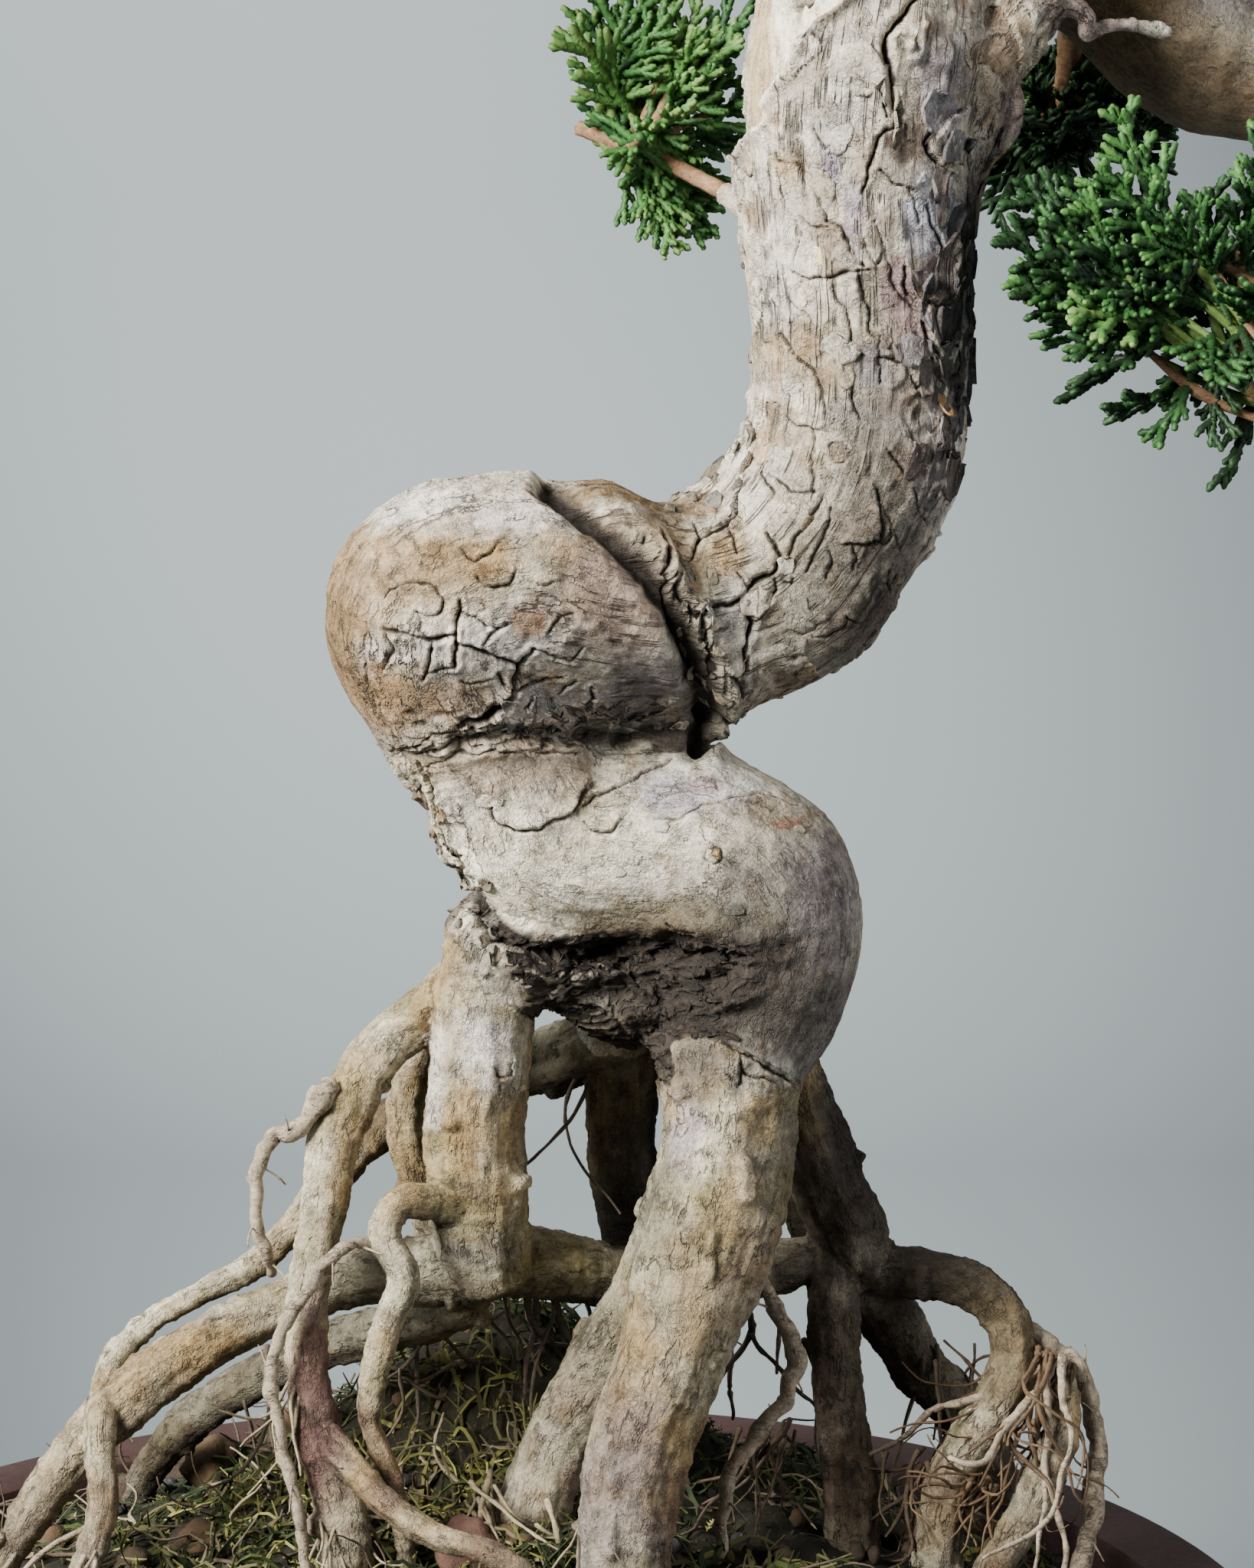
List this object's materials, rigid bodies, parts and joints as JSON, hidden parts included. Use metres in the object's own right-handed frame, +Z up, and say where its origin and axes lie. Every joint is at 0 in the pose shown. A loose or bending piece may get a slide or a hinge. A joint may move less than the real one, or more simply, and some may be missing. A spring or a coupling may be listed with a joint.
{
  "type": "potted juniper bonsai",
  "caption": "Exposed-root juniper bonsai: a twisted trunk on arching roots carries flat foliage pads and one heavy side limb, in a round unglazed clay pot.",
  "frame": {"origin": "centre of the pot's flat underside", "axes": "+Z up, -Y towards the front of the tree, +X to the right as seen from the front"},
  "size_m": [0.3009, 0.21, 0.4174],
  "materials": {
    "clay": "unglazed red-brown clay, matt",
    "soil": "dark damp soil with moss, rough",
    "bark": "grey-tan flaking bark, matt",
    "root_bark": "smooth tan root bark with grey scales, matt",
    "deadwood": "pale stripped wood, matt",
    "foliage": "dark green scale leaves, slightly waxy"
  },
  "bodies": {
    "root": {"bough_back": "bark", "bough_front": "bark", "bough_front_upper": "bark", "bough_left": "bark", "bough_left_back": "bark", "bough_left_low": "bark", "bough_left_upper": "bark", "bough_right_drop": "bark", "bough_right_shade": "bark", "bough_right_top": "bark", "bough_right_upper": "bark", "dead_spur": "deadwood", "foliage_apex": "foliage", "foliage_back": "foliage", "foliage_front": "foliage", "foliage_front_upper": "foliage", "foliage_left_back": "foliage", "foliage_left_low": "foliage", "foliage_left_tip": "foliage", "foliage_left_upper": "foliage", "foliage_right_low": "foliage", "foliage_right_shade": "foliage", "foliage_right_tip": "foliage", "foliage_right_top": "foliage", "foliage_right_upper": "foliage", "limb_right": "bark", "pot": "clay", "root_back_column": "root_bark", "root_centre_bridge": "root_bark", "root_front_leg": "root_bark", "root_front_tendril": "root_bark", "root_left_arch": "root_bark", "root_left_fork": "root_bark", "root_left_hook": "root_bark", "root_left_leg": "root_bark", "root_left_rear_strut": "root_bark", "root_left_runner": "root_bark", "root_left_tendril": "root_bark", "root_long_loop": "root_bark", "root_low_runner": "root_bark", "root_rear_left": "root_bark", "root_rear_right": "root_bark", "root_right_arch": "root_bark", "root_right_brace": "root_bark", "root_right_pale": "root_bark", "root_right_pillar": "root_bark", "root_right_tendril": "root_bark", "root_right_thigh": "root_bark", "root_right_whip": "root_bark", "root_second_leg": "root_bark", "soil": "soil", "trunk": "bark"}
  },
  "joints": []
}
